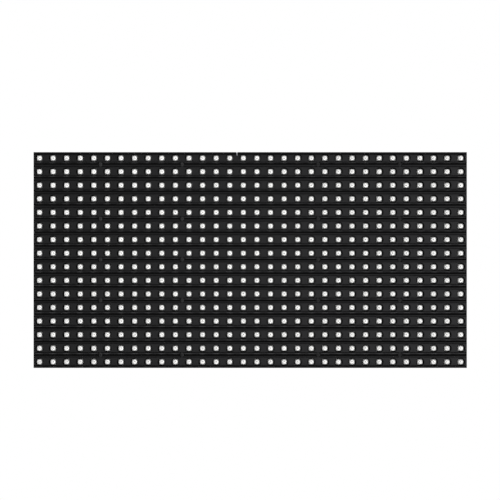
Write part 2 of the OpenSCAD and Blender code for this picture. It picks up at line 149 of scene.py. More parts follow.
bpy.ops.mesh.primitive_plane_add(size=2 * FLOOR_HALF, location=(0, 0, cad_low.z))
floor = bpy.context.object
floor.name = "studio_floor"
floor_paint = bpy.data.materials.new("studio_floor")
floor_paint.use_nodes = True
floor_tree = floor_paint.node_tree
floor_glow = {}
for role, strength in (("seen", SEEN_WHITE), ("lit", FLOOR_LIGHT)):
    floor_glow[role] = floor_tree.nodes.new("ShaderNodeEmission")
    floor_glow[role].inputs["Strength"].default_value = strength
seen_or_lit(floor_tree, floor_glow["seen"], floor_glow["lit"], floor_tree.nodes["Material Output"])
floor.data.materials.append(floor_paint)

sky = bpy.data.worlds.new("studio_sky")
scene.world = sky
sky.use_nodes = True
seen_sky = sky.node_tree.nodes["Background"]
lit_sky = sky.node_tree.nodes.new("ShaderNodeBackground")
for background, strength in ((seen_sky, SEEN_WHITE), (lit_sky, SKY_LIGHT)):
    background.inputs["Color"].default_value = (1, 1, 1, 1)
    background.inputs["Strength"].default_value = strength
seen_or_lit(sky.node_tree, seen_sky, lit_sky, sky.node_tree.nodes["World Output"])
print("floor at", round(cad_low.z / MM, 1), "mm")

# %% [markdown]
# ## Softboxes
# The lamps are white to the bottom of their cups, so the main light is broad and comes from the front. It
# stands far away, so that both ends of the tile get about as much. A second one further to the left lights
# the left walls of the lamps, which are pale, while their right walls stay dark. A weak one overhead makes
# the upper flanks of the louvres a little brighter than the lower ones, and another pair lights the back
# for the views from behind.

# %% Area lights
def softbox(name, place, size, watts):
    lamp = bpy.data.lights.new(name, "AREA")
    lamp.shape = "RECTANGLE"
    lamp.size, lamp.size_y = size
    lamp.energy = watts
    holder = bpy.data.objects.new(name, lamp)
    holder.location = place
    holder.rotation_euler = (-Vector(place)).to_track_quat("-Z", "Y").to_euler()
    scene.collection.objects.link(holder)


softbox("front_key", place=(-1.1, -2.2, 0.6), size=(2.8, 2.0), watts=63)
softbox("front_top", place=(-0.1, -0.6, 0.9), size=(1.4, 0.4), watts=4.6)
softbox("front_left", place=(-1.6, -1.6, 0.6), size=(1.0, 1.8), watts=18)
softbox("back_top", place=(0.2, 0.9, 0.9), size=(1.4, 0.5), watts=16)
softbox("back_side", place=(-0.9, 0.9, 0.3), size=(0.5, 0.8), watts=7)

# %% [markdown]
# ## The camera
# The outline in the picture gives the scale: so many pixels for the width of the tile, at the plane of the
# mask's face. The camera stands level, at a distance where the sides of the lamps near the edges show as
# much as they should.

# %% Camera
IMAGE_PX = 500
OUTLINE_LEFT_PX, OUTLINE_RIGHT_PX = 33.55, 466.85
OUTLINE_TOP_PX, OUTLINE_BOTTOM_PX = 151.9, 368.1
CAMERA_DISTANCE = 0.38
SENSOR_MM = 36
LAMP_RECESS = 0.2 * MM
mask_face_y = lamp_face_y - LAMP_RECESS
px_per_m = (OUTLINE_RIGHT_PX - OUTLINE_LEFT_PX) / tile_size.x
centre_x_px = (OUTLINE_LEFT_PX + OUTLINE_RIGHT_PX) / 2
centre_z_px = (OUTLINE_TOP_PX + OUTLINE_BOTTOM_PX) / 2
tile_centre = (cad_low + cad_high) / 2
camera_data = bpy.data.cameras.new("camera")
camera_data.sensor_width = SENSOR_MM
camera_data.lens = SENSOR_MM * CAMERA_DISTANCE * px_per_m / IMAGE_PX
camera = bpy.data.objects.new("camera", camera_data)
camera.location = (
    tile_centre.x + (IMAGE_PX / 2 - centre_x_px) / px_per_m,
    mask_face_y - CAMERA_DISTANCE,
    tile_centre.z + (centre_z_px - IMAGE_PX / 2) / px_per_m,
)
camera.rotation_euler = (math.radians(90), 0, 0)
scene.collection.objects.link(camera)
scene.camera = camera
print("lens", round(camera_data.lens, 2), "mm")

# %% [markdown]
# ## One recipe for finishes
# No real surface has one colour. Each finish here is a principled shader whose colour wanders between two
# tones, whose roughness wanders with it, and which may have a fine relief. The noise is measured in the
# tile's own metres, so a grain of a quarter of a millimetre is that size on every piece.

# %% Noise in real sizes
NOISE_DETAIL = 3


def noise_of(finish, size, stretch):
    """Noise with features about size metres across, longer along an axis with a small stretch value."""
    nodes, links = finish.node_tree.nodes, finish.node_tree.links
    where = nodes.new("ShaderNodeTexCoord")
    mapping = nodes.new("ShaderNodeMapping")
    mapping.inputs["Scale"].default_value = stretch
    noise = nodes.new("ShaderNodeTexNoise")
    noise.inputs["Scale"].default_value = 1 / size
    noise.inputs["Detail"].default_value = NOISE_DETAIL
    links.new(where.outputs["Object"], mapping.inputs["Vector"])
    links.new(mapping.outputs["Vector"], noise.inputs["Vector"])
    return noise.outputs["Fac"]


# %% Finish recipe
TONE_SPAN = (0.35, 0.65)
ROUGHNESS_SPAN = (0.3, 0.7)
RELIEF_STRENGTH = 0.6


def shader_of(finish):
    return finish.node_tree.nodes["Principled BSDF"]


def make_finish(name, dark, light, patch, roughness, grain=None, metallic=0.0, specular=0.5,
                stretch=(1, 1, 1)):
    """Colour and roughness wander over patches; grain is the size and depth of a relief."""
    finish = bpy.data.materials.new(name)
    finish.use_nodes = True
    nodes, links = finish.node_tree.nodes, finish.node_tree.links
    shader = shader_of(finish)
    shader.inputs["Metallic"].default_value = metallic
    shader.inputs["Specular IOR Level"].default_value = specular
    wander = noise_of(finish, patch, stretch)
    ramp = nodes.new("ShaderNodeValToRGB")
    for element, place, tone in zip(ramp.color_ramp.elements, TONE_SPAN, (dark, light)):
        element.position = place
        element.color = (*tone, 1)
    span = nodes.new("ShaderNodeMapRange")
    for end, place, value in zip(("Min", "Max"), ROUGHNESS_SPAN, roughness):
        span.inputs["From " + end].default_value = place
        span.inputs["To " + end].default_value = value
    links.new(wander, ramp.inputs["Fac"])
    links.new(wander, span.inputs["Value"])
    links.new(ramp.outputs["Color"], shader.inputs["Base Color"])
    links.new(span.outputs["Result"], shader.inputs["Roughness"])
    if grain:
        size, depth = grain
        bump = nodes.new("ShaderNodeBump")
        bump.inputs["Strength"].default_value = RELIEF_STRENGTH
        bump.inputs["Distance"].default_value = depth
        links.new(noise_of(finish, size, stretch), bump.inputs["Height"])
        links.new(bump.outputs["Normal"], shader.inputs["Normal"])
    return finish


# %% Tones and dressing
def grey(level, blue=1.04):
    """A neutral tone with the faint blue that black plastics have."""
    return (level, level, level * blue)


def dress(finish, *nodes):
    """Put one finish on whole CAD nodes."""
    for n in nodes:
        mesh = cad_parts[n].data
        mesh.materials.clear()
        mesh.materials.append(finish)
    print(finish.name, "on", len(nodes), "nodes")


# %% [markdown]
# ## Where a point lies
# The mask and the lamps change their tone from place to place: at a louvre's tip, around a window, on a rim.
# Each could be cut out of the mesh and get a material of its own, but the solids stay as they are. A shader
# can ask where a point lies instead. It reads X, Y and Z, and since the lamps stand in a square grid, a
# division and a fraction give the distance from the nearest lamp.

# %% Coordinates and lamp distance
def coordinates_of(finish):
    """X, Y and Z of a point on the tile, in metres."""
    nodes, links = finish.node_tree.nodes, finish.node_tree.links
    where = nodes.new("ShaderNodeTexCoord")
    split = nodes.new("ShaderNodeSeparateXYZ")
    links.new(where.outputs["Object"], split.inputs["Vector"])
    return split.outputs


def vector_step(finish, operation, vector, other=None):
    """One step of vector arithmetic, with a constant as the other value."""
    step = finish.node_tree.nodes.new("ShaderNodeVectorMath")
    step.operation = operation
    finish.node_tree.links.new(vector, step.inputs[0])
    if other is not None:
        step.inputs[1].default_value = other
    return step.outputs["Value" if operation == "LENGTH" else "Vector"]


lamp_xs = sorted({round(centre(b).x, PLACE_DIGITS) for b in lamp_boxes})
lamp_zs = sorted({round(centre(b).z, PLACE_DIGITS) for b in lamp_boxes})
lamp_pitch = lamp_xs[1] - lamp_xs[0]
print(len(lamp_xs), "columns and", len(lamp_zs), "rows,", round(lamp_pitch / MM, 2), "mm apart")


def lamp_distance_of(finish):
    """Distance across the face from the middle of the nearest lamp, in lamp pitches."""
    where = finish.node_tree.nodes.new("ShaderNodeTexCoord").outputs["Object"]
    corner = (lamp_xs[0] - lamp_pitch / 2, 0, lamp_zs[0] - lamp_pitch / 2)
    middle = (0.5, 0, 0.5)
    cell = vector_step(finish, "SUBTRACT", where, corner)
    cell = vector_step(finish, "MULTIPLY", cell, (1 / lamp_pitch, 0, 1 / lamp_pitch))
    cell = vector_step(finish, "FRACTION", cell)
    return vector_step(finish, "LENGTH", vector_step(finish, "SUBTRACT", cell, middle))


# %% [markdown]
# ## How a face lies
# Two more things matter for a tone: whether a face looks up, and whether it lies in a crease. The first is
# the Z of the face's own direction. For the second, an occlusion node sends out a few short rays and tells
# how many of them hit nothing.

# %% Upward faces and creases
def upwardness_of(finish):
    """1 where a face looks straight up, 0 on a wall, -1 where it looks down."""
    nodes, links = finish.node_tree.nodes, finish.node_tree.links
    facing = nodes.new("ShaderNodeNewGeometry")
    split = nodes.new("ShaderNodeSeparateXYZ")
    links.new(facing.outputs["True Normal"], split.inputs["Vector"])
    return split.outputs["Z"]


OCCLUSION_RAYS = 8


def openness_of(finish, reach):
    """How open a point is within a short reach: 1 on a plain face, less in a crease."""
    occlusion = finish.node_tree.nodes.new("ShaderNodeAmbientOcclusion")
    occlusion.samples = OCCLUSION_RAYS
    occlusion.inputs["Distance"].default_value = reach
    return occlusion.outputs["AO"]


# %% [markdown]
# ## Shares and blends
# Each of these measures becomes a share from 0 to 1, shares are multiplied where two of them must hold at
# once, and the result blends one more tone over the finish. Blends pile up in order, so the last one wins.

# %% From a measure to a tone
def share_of(finish, value, value_from, value_to):
    """0 to 1 as a value goes from one number to another."""
    share = finish.node_tree.nodes.new("ShaderNodeMapRange")
    share.inputs["From Min"].default_value = value_from
    share.inputs["From Max"].default_value = value_to
    finish.node_tree.links.new(value, share.inputs["Value"])
    return share.outputs["Result"]


def calculated(finish, operation, first, second):
    """One step of arithmetic with two values, each a socket or a number."""
    step = finish.node_tree.nodes.new("ShaderNodeMath")
    step.operation = operation
    for socket, value in zip(step.inputs, (first, second)):
        if isinstance(value, (int, float)):
            socket.default_value = value
        else:
            finish.node_tree.links.new(value, socket)
    return step.outputs["Value"]


def product_of(finish, first, *others):
    """Shares multiplied with each other."""
    for other in others:
        first = calculated(finish, "MULTIPLY", first, other)
    return first


def blend_tone(finish, share, tone):
    """Blend the finish's colour to another tone by a share."""
    nodes, links = finish.node_tree.nodes, finish.node_tree.links
    socket = shader_of(finish).inputs["Base Color"]
    before = socket.links[0].from_socket
    blend = nodes.new("ShaderNodeMixRGB")
    blend.inputs["Color2"].default_value = (*tone, 1)
    links.new(share, blend.inputs["Fac"])
    links.new(before, blend.inputs["Color1"])
    links.new(blend.outputs["Color"], socket)


# %% [markdown]
# ## Black mask
# The mask is moulded in a matte black plastic with a fine spark-eroded texture, which scatters light and
# looks dark grey. Light is painted onto that grey: it gets paler to the right and down, as where the light
# falls stronger. A real light from one side would shade the lamps unevenly, so this painted light is part of
# the colour: a gradient along one slanting line, worked out from X and Z.

# %% Mask plastic
PAINTED_LIGHT_SHARE, PAINTED_LIGHT_FALL = 0.56, 0.5
PAINTED_LIGHT_TONE = grey(0.03)
mask_plastic = make_finish(
    "mask_plastic", dark=grey(0.0054), light=grey(0.0098), patch=0.7 * MM, roughness=(0.55, 0.75),
    grain=(0.25 * MM, 0.03 * MM), specular=0.03,
)
dress(mask_plastic, "front_mask")
spot = coordinates_of(mask_plastic)
# painted light: the mask's grey is made paler to the right and down
fall = calculated(mask_plastic, "MULTIPLY", spot["Z"], PAINTED_LIGHT_FALL)
slant = calculated(mask_plastic, "SUBTRACT", spot["X"], fall)
slant_end = cad_high.x + cad_high.z * PAINTED_LIGHT_FALL
painted_light = share_of(mask_plastic, slant, -slant_end, slant_end)
blend_tone(mask_plastic, product_of(mask_plastic, painted_light, PAINTED_LIGHT_SHARE), PAINTED_LIGHT_TONE)

# %% [markdown]
# ## Pale flanks and painted reflections
# The flanks of the louvres are a little paler than the face, and below each lamp, where a flank looks up to
# it, there is a short light dash, which is a painted reflection of the lamp. A gloss strong enough for a
# real reflection would lift the whole face, so the dash is painted as a paler band of the plastic, between
# two heights above the mask's face, and it ends at a distance from the lamp.

# %% Flanks and painted reflection dashes
FLANK_FROM, FLANK_TO, FLANK_SHARE = 0.3 * MM, 0.9 * MM, 0.08
DASH_REFLECTION_SHARE = 0.46
DASH_REFLECTION_FAR, DASH_REFLECTION_NEAR = 4.7 * MM, 3.7 * MM
DASH_REFLECTION_LOW, DASH_REFLECTION_HIGH, DASH_REFLECTION_EDGE = 0.5 * MM, 1.5 * MM, 0.4 * MM
UP_FROM, UP_TO = 0.2, 0.6
PALE_TONE = grey(0.08)
flank = share_of(mask_plastic, spot["Y"], mask_face_y - FLANK_FROM, mask_face_y - FLANK_TO)
blend_tone(mask_plastic, product_of(mask_plastic, flank, FLANK_SHARE), PALE_TONE)
from_lamp = lamp_distance_of(mask_plastic)
near = share_of(mask_plastic, from_lamp, DASH_REFLECTION_FAR / lamp_pitch, DASH_REFLECTION_NEAR / lamp_pitch)
upper = share_of(mask_plastic, upwardness_of(mask_plastic), UP_FROM, UP_TO)
low_y, high_y = mask_face_y - DASH_REFLECTION_LOW, mask_face_y - DASH_REFLECTION_HIGH
above_low = share_of(mask_plastic, spot["Y"], low_y, low_y - DASH_REFLECTION_EDGE)
below_high = share_of(mask_plastic, spot["Y"], high_y, high_y + DASH_REFLECTION_EDGE)
# painted reflection of each lamp, on the upper flank of the louvre below it
painted_reflection = product_of(mask_plastic, near, upper, above_low, below_high, DASH_REFLECTION_SHARE)
blend_tone(mask_plastic, painted_reflection, PALE_TONE)
print("faded bands", round((DASH_REFLECTION_HIGH - DASH_REFLECTION_LOW) / MM, 1), "mm high")

# %% [markdown]
# ## Dark lines
# The creases along the roots of the louvres get painted shade, as deep as an occlusion node finds them shut
# in. The tips of the louvres are painted almost black, and on the upper flank that dark line is broader.
# Where the mask meets the frame, a thin dark seam is painted as the shade of the joint. The walls of the
# round windows, and a thin ring of the face around them, are painted with shade as well.

# %% Creases, tips, seam and window walls
CREASE_OPEN, CREASE_SHUT, CREASE_REACH = 0.98, 0.87, 0.7 * MM
TIP_BAND = 1.0 * MM
UPPER_TIP_FROM, UPPER_TIP_TO = 0.75 * MM, 0.35 * MM
SEAM_SHADE_BAND, SEAM_SHADE_FADE = 0.5 * MM, 0.15 * MM
WINDOW_GAP = 0.4 * MM
WALL_SHADE_EDGE = 0.35 * MM
SHADE_TONE, BLACK_TONE = grey(0.002), grey(0.0005)
# painted shade in the creases at the roots of the louvres
crease = share_of(mask_plastic, openness_of(mask_plastic, CREASE_REACH), CREASE_OPEN, CREASE_SHUT)
blend_tone(mask_plastic, crease, SHADE_TONE)
louvre_tip_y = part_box("front_mask")[0].y
tip = share_of(mask_plastic, spot["Y"], louvre_tip_y + TIP_BAND, louvre_tip_y)
blend_tone(mask_plastic, tip, BLACK_TONE)
upper_tip = share_of(mask_plastic, spot["Y"], louvre_tip_y + UPPER_TIP_FROM, louvre_tip_y + UPPER_TIP_TO)
blend_tone(mask_plastic, product_of(mask_plastic, upper_tip, upper), BLACK_TONE)
mask_back_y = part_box("potting")[0].y
# painted shade of the joint where the mask meets the frame
seam = share_of(mask_plastic, spot["Y"], mask_back_y - SEAM_SHADE_BAND, mask_back_y - SEAM_SHADE_BAND + SEAM_SHADE_FADE)
blend_tone(mask_plastic, seam, BLACK_TONE)
lamp_half = (lamp_boxes[0][1].x - lamp_boxes[0][0].x) / 2
window_radius = lamp_half * math.sqrt(2) + WINDOW_GAP
wall_from, wall_to = (window_radius + WALL_SHADE_EDGE) / lamp_pitch, window_radius / lamp_pitch
# painted shade on the window walls and a thin ring of the face around them
blend_tone(mask_plastic, share_of(mask_plastic, from_lamp, wall_from, wall_to), SHADE_TONE)
print("windows", round(2 * window_radius / MM, 2), "mm across, louvres",
      round((mask_face_y - louvre_tip_y) / MM, 2), "mm high")

# %% [markdown]
# ## Gate scar
# Molten plastic enters the mould through a small gate, and the stub is twisted off afterwards. It leaves a
# pale, stretched wedge on the mask's upper edge, a little left of the middle. A cut in the mesh would be
# too much for a mark without depth, so the shader whitens it. It measures how far a point lies above the
# tip of the wedge, works out how wide the wedge is at that height, and compares that with the distance
# from the wedge's middle line.

# %% Whitened wedge
SCAR_X = -9.7 * MM
SCAR_DEPTH = 3.2 * MM
SCAR_SLOPE = 0.17
SCAR_FADE = 0.1 * MM
SCAR_TONE = grey(0.42)
aside = calculated(mask_plastic, "ABSOLUTE", calculated(mask_plastic, "SUBTRACT", spot["X"], SCAR_X), 0)
height = calculated(mask_plastic, "SUBTRACT", spot["Z"], cad_high.z - SCAR_DEPTH)
half_width = calculated(mask_plastic, "MULTIPLY", height, SCAR_SLOPE)
margin = calculated(mask_plastic, "SUBTRACT", half_width, aside)
blend_tone(mask_plastic, share_of(mask_plastic, margin, 0, SCAR_FADE), SCAR_TONE)
print("scar", round(2 * SCAR_DEPTH * SCAR_SLOPE / MM, 1), "mm wide at the edge")

# %% [markdown]
# ## White lamps under milky resin
# A lamp is a white square package with a round cup, filled flush with resin that has a little diffuser in
# it, so the cup is the brightest place and the package's rim and corners are duller. No two lamps are quite
# the same white. The resin lets about three quarters of what lies under it show through. The black silicone
# creeps up the sides of each package, so they go dark towards the board.

# %% Lamp packages
RIM_FROM, RIM_TO = 1.3 * MM, 1.8 * MM
FACE_SKIN = 0.05 * MM
CREEP_FROM, CREEP_TO = 1.5 * MM, 2.2 * MM
RIM_TONE, CREEP_TONE = (0.10, 0.10, 0.10), grey(0.004)
cup_radius = (resin_box[1].x - resin_box[0].x) / 2
lamp_white = make_finish(
    "lamp_package", dark=(0.66, 0.66, 0.65), light=(0.73, 0.725, 0.71), patch=6 * MM,
    roughness=(0.4, 0.55), grain=(0.2 * MM, 0.008 * MM),
)
from_middle = lamp_distance_of(lamp_white)
lamp_depth = coordinates_of(lamp_white)["Y"]
rim = share_of(lamp_white, from_middle, RIM_FROM / lamp_pitch, RIM_TO / lamp_pitch)
on_face = share_of(lamp_white, lamp_depth, lamp_face_y + FACE_SKIN, lamp_face_y)
blend_tone(lamp_white, product_of(lamp_white, rim, on_face), RIM_TONE)
outside = share_of(lamp_white, from_middle, cup_radius / lamp_pitch, lamp_half / lamp_pitch)
below = share_of(lamp_white, lamp_depth, lamp_face_y + CREEP_FROM, lamp_face_y + CREEP_TO)
blend_tone(lamp_white, product_of(lamp_white, outside, below), CREEP_TONE)
dress(lamp_white, *lamp_nodes)

# %% Milky resin
RESIN_VEIL = 0.25
resin_milky = make_finish(
    "lamp_resin", dark=(0.96, 0.96, 0.95), light=(1.0, 1.0, 0.99), patch=6 * MM, roughness=(0.12, 0.22),
)
shader_of(resin_milky).inputs["Alpha"].default_value = RESIN_VEIL
dress(resin_milky, *resin_nodes)

# %% [markdown]
# ## Meshes by hand
# The fine pieces are small and there are thousands of them, so each kind is one mesh. A shape is a pair of
# lists, corners and faces, and shapes are joined by adding those lists. That is much quicker than adding a
# Blender object for each one.

# %% Joined and lofted shapes
def join(shapes):
    corners, faces = [], []
    for more_corners, more_faces in shapes:
        start = len(corners)
        corners += more_corners
        faces += [[start + i for i in face] for face in more_faces]
    return corners, faces


def moved(shape, place):
    return [Vector(c) + place for c in shape[0]], shape[1]


def lofted(rings, closed_ends=True):
    """Skin over rings of corners that all have the same count."""
    n = len(rings[0])
    faces = [
        [k * n + i, k * n + (i + 1) % n, (k + 1) * n + (i + 1) % n, (k + 1) * n + i]
        for k in range(len(rings) - 1) for i in range(n)
    ]
    if closed_ends:
        faces += [list(range(n))[::-1], [(len(rings) - 1) * n + i for i in range(n)]]
    return [Vector(c) for ring in rings for c in ring], faces


# %% Outlines and plates
def prism(outline, y0, y1):
    """An outline of x, z points between two depths."""
    return lofted([[(x, y, z) for x, z in outline] for y in (y0, y1)])


def rectangle(x0, x1, z0, z1):
    return [(x0, z0), (x1, z0), (x1, z1), (x0, z1)]


def circle(radius, sides, x=0.0, z=0.0):
    turns = [2 * math.pi * k / sides for k in range(sides)]
    return [(x + radius * math.cos(t), z + radius * math.sin(t)) for t in turns]


def flat_ring(outer, inner, y0, y1):
    """A ring of rectangular section between two outlines of x, z points."""
    section = ((outer, y0), (outer, y1), (inner, y1), (inner, y0), (outer, y0))
    rings = [[(x, y, z) for x, z in outline] for outline, y in section]
    return lofted(rings, closed_ends=False)


def washer(outer, inner, y0, y1, sides, x=0.0, z=0.0):
    return flat_ring(circle(outer, sides, x, z), circle(inner, sides, x, z), y0, y1)


# %% [markdown]
# ## Strips along a path
# A copper track is a flat strip that follows a bent line. Where two stretches meet, both edges turn on the
# line that halves the corner, which is a mitre, and the strip keeps its width on either side of it.

# %% Ribbons
SHARPEST_MITRE = 0.3


def ribbon(points, width, y0, y1):
    """A flat strip along x, z points, with mitred corners."""
    left, right = [], []
    for k, (x, z) in enumerate(points):
        before = points[max(k - 1, 0)]
        after = points[min(k + 1, len(points) - 1)]
        a = Vector((x - before[0], z - before[1])) if k else Vector((after[0] - x, after[1] - z))
        b = Vector((after[0] - x, after[1] - z)) if k < len(points) - 1 else a
        a.normalize()
        b.normalize()
        side = (Vector((-a.y, a.x)) + Vector((-b.y, b.x))).normalized()
        reach = width / 2 / max(side.dot(Vector((-a.y, a.x))), SHARPEST_MITRE)
        left.append((x + side.x * reach, z + side.y * reach))
        right.append((x - side.x * reach, z - side.y * reach))
    rings = []
    for (lx, lz), (rx, rz) in zip(left, right):
        rings.append([(lx, y0, lz), (rx, y0, rz), (rx, y1, rz), (lx, y1, lz)])
    return lofted(rings)


# %% [markdown]
# ## One mesh for each kind
# Corners that fall on the same place are merged, so that each shape is a closed solid, and all faces are
# turned outwards. The piece then rides on the tile and gets the slot of the material that it is made of.

# %% New pieces
SAME_CORNER = 0.0001 * MM


def new_piece(name, finish, shapes):
    """Make one mesh of many shapes, ride it on the tile and give it its finish."""
    corners, faces = join(shapes)
    mesh = bpy.data.meshes.new(name)
    mesh.from_pydata(corners, [], faces)
    work = bmesh.new()
    work.from_mesh(mesh)
    bmesh.ops.remove_doubles(work, verts=work.verts, dist=SAME_CORNER)
    bmesh.ops.recalc_face_normals(work, faces=work.faces)
    work.to_mesh(mesh)
    work.free()
    mesh.materials.append(finish)
    piece = bpy.data.objects.new(name, mesh)
    scene.collection.objects.link(piece)
    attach(piece, "root")
    print(name, sum(len(f.vertices) - 2 for f in mesh.polygons), "triangles")
    return piece


# %% [markdown]
# ## Inside the lamps
# Through the resin one sees the cup's silvered floor, split into pads, three small dies, and a hair of gold
# wire from each die to its pad. From a distance they only make a grey dot in the white lamp, but that dot
# is what tells a lamp from a painted square.

# %% One pad, die and bond wire
PAD_RADIUS = 1.0 * MM
PAD_T = 0.02 * MM
PAD_SLIT = 0.08 * MM
PAD_STEPS = 8
# The dies are drawn larger than real ones, so that their dark tone also stands in for painted shade around
# them.
DIE_SIDE = 0.5 * MM
DIE_H = 0.12 * MM
DIE_RING = 0.34 * MM
WIRE_D = 0.05 * MM
WIRE_RISE = 0.3 * MM
WIRE_STEPS = 5
WIRE_END = 0.8 * PAD_RADIUS
THIRD = 2 * math.pi / 3
lamp_centres = [Vector((centre(b).x, cup_floor_y, centre(b).z)) for b in lamp_boxes]


def pad(turn):
    """A third of the cup's floor, from the slit to the rim."""
    start, end = turn + PAD_SLIT / PAD_RADIUS, turn + THIRD - PAD_SLIT / PAD_RADIUS
    steps = [start + (end - start) * k / PAD_STEPS for k in range(PAD_STEPS + 1)]
    middle = (start + end) / 2
    tip = (PAD_SLIT * math.cos(middle), PAD_SLIT * math.sin(middle))
    outline = [tip] + [(PAD_RADIUS * math.cos(t), PAD_RADIUS * math.sin(t)) for t in steps]
    return prism(outline, -PAD_T, 0)


def die(turn):
    x, z = DIE_RING * math.cos(turn), DIE_RING * math.sin(turn)
    half = DIE_SIDE / 2
    return prism(rectangle(x - half, x + half, z - half, z + half), -PAD_T - DIE_H, -PAD_T)


def wire(turn):
    """A loop from the top of a die out to its pad."""
    out = Vector((math.cos(turn), 0, math.sin(turn)))
    across = Vector((-math.sin(turn), 0, math.cos(turn)))
    rings = []
    for k in range(WIRE_STEPS + 1):
        t = k / WIRE_STEPS
        height = PAD_T + DIE_H * (1 - t) + WIRE_RISE * 4 * t * (1 - t)
        middle = out * (DIE_RING + t * (WIRE_END - DIE_RING)) + Vector((0, -height, 0))
        rings.append([middle + across * WIRE_D / 2, middle + Vector((0, -WIRE_D / 2, 0)),
                      middle - across * WIRE_D / 2, middle + Vector((0, WIRE_D / 2, 0))])
    return lofted(rings)


# %% Fill the lamps
thirds = [math.pi / 2 + k * THIRD for k in range(3)]
pad_silver = make_finish(
    "pad_silver", dark=(0.88, 0.88, 0.87), light=(0.95, 0.95, 0.94), patch=0.5 * MM,
    roughness=(0.35, 0.5),
)
die_grey = make_finish(
    "die_grey", dark=(0.02, 0.021, 0.022), light=(0.05, 0.052, 0.054), patch=0.2 * MM,
    roughness=(0.25, 0.35),
)
wire_gold = make_finish(
    "wire_gold", dark=(0.75, 0.55, 0.20), light=(0.85, 0.64, 0.28), patch=0.3 * MM, roughness=(0.2, 0.3),
    metallic=1.0,
)
for name, finish, kind, slot, turn in (
    ("lamp_pads", pad_silver, pad, "lead_tin", -THIRD / 2),
    ("lamp_dies", die_grey, die, "chip_epoxy", 0.0),
    ("lamp_wires", wire_gold, wire, "pin_gold", 0.0),
):
    one_lamp = join([kind(t + turn) for t in thirds])
    new_piece(name, finish, [moved(one_lamp, place) for place in lamp_centres])

# %% [markdown]
# ## Potting
# Silicone is poured over the board after the lamps are soldered. It sets with a soft gloss and a surface
# that is never quite level, so its relief is broad and low.

# %% Potting silicone
potting_black = make_finish(
    "potting_silicone", dark=grey(0.002), light=grey(0.004), patch=3 * MM, roughness=(0.32, 0.45),
    grain=(2.5 * MM, 0.12 * MM), specular=0.25,
)
dress(potting_black, "potting")

# %% [markdown]
# ## Rear frame
# The frame is a glass-filled moulding: matte and faintly mottled, with a fine grain. Sharp edges give a
# solid away at once, so a small bevel breaks them. The mesh arrives as loose triangles, and a weld has to
# join them before a bevel can find the edges. Both are modifiers, so the solid itself stays as it is.

# %% Frame plastic and broken edges
WELD_GAP = 0.001 * MM
SHARP_ANGLE = math.radians(40)
EDGE_SEGMENTS = 2
FRAME_EDGE = 0.2 * MM


def break_edges(node, width):
    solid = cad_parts[node]
    weld = solid.modifiers.new("weld", "WELD")
    weld.merge_threshold = WELD_GAP
    bevel = solid.modifiers.new("broken_edges", "BEVEL")
    bevel.width = width
    bevel.segments = EDGE_SEGMENTS
    bevel.limit_method = "ANGLE"
    bevel.angle_limit = SHARP_ANGLE
    bevel.use_clamp_overlap = False


frame_black = make_finish(
    "frame_plastic", dark=grey(0.016), light=grey(0.022), patch=1.6 * MM, roughness=(0.48, 0.58),
    grain=(0.3 * MM, 0.03 * MM), specular=0.4, stretch=(0.5, 1, 1),
)
dress(frame_black, "rear_frame")
break_edges("rear_frame", FRAME_EDGE)

# %% [markdown]
# ## Ejector marks
# When the frame leaves its mould, round pins push it out, and each leaves a faint ring. They belong on the
# thick places that a pin can push on: the ends of the screw posts and the flange.

# %% Ejector rings
MARK_OUTER, MARK_WALL, MARK_H = 1.7 * MM, 0.14 * MM, 0.02 * MM
MARK_SIDES = 24
FLANGE_INSET = 6.8 * MM
FLANGE_STEP = 40 * MM
FLANGE_STEPS_X, FLANGE_STEPS_Z = (-3, -2, -1, 1, 2, 3), (-1, 0, 1)
SEAL_PROUD = 0.8 * MM
rim_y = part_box("rear_gasket")[1].y - SEAL_PROUD
screw_boxes = loose_boxes("mask_screws")
marks = [(centre(b).x, centre(b).z) for b in screw_boxes if abs(centre(b).z) > FLANGE_STEP / 2]
side_x, side_z = cad_high.x - FLANGE_INSET, cad_high.z - FLANGE_INSET
marks += [(x * FLANGE_STEP, s * side_z) for x in FLANGE_STEPS_X for s in (-1, 1)]
marks += [(s * side_x, z * FLANGE_STEP) for z in FLANGE_STEPS_Z for s in (-1, 1)]
mark_inner, mark_y = MARK_OUTER - MARK_WALL, rim_y + MARK_H
rings = [washer(MARK_OUTER, mark_inner, rim_y, mark_y, MARK_SIDES, x, z) for x, z in marks]
new_piece("ejector_marks", frame_black, rings)

# %% [markdown]
# ## Seal, inserts and screws
# The seal is dull extruded rubber. The inserts are turned brass with an M4 thread: the solids have a plain
# bore, because a thread is only looks, so a new insert with a real helix replaces them. Each ring of its
# bore is a turn of corners whose radius rises and falls with the thread.

# %% Rubber seal
SEAL_EDGE = 0.3 * MM
gasket_rubber = make_finish(
    "gasket_rubber", dark=grey(0.028), light=grey(0.045), patch=4 * MM, roughness=(0.7, 0.88),
    grain=(0.15 * MM, 0.02 * MM), specular=0.25, stretch=(0.3, 1, 0.3),
)
dress(gasket_rubber, "rear_gasket")
break_edges("rear_gasket", SEAL_EDGE)

# %% Threaded brass inserts
THREAD_PITCH = 0.7 * MM
THREAD_DEPTH = 0.35 * MM
BORE_RADIUS = 1.65 * MM
MOUTH_EDGE = 0.3 * MM
THREAD_SIDES, THREAD_ROWS = 32, 8
insert_boxes = loose_boxes("frame_inserts")
insert_radius = (insert_boxes[0][1].x - insert_boxes[0][0].x) / 2
insert_length = insert_boxes[0][1].y - insert_boxes[0][0].y


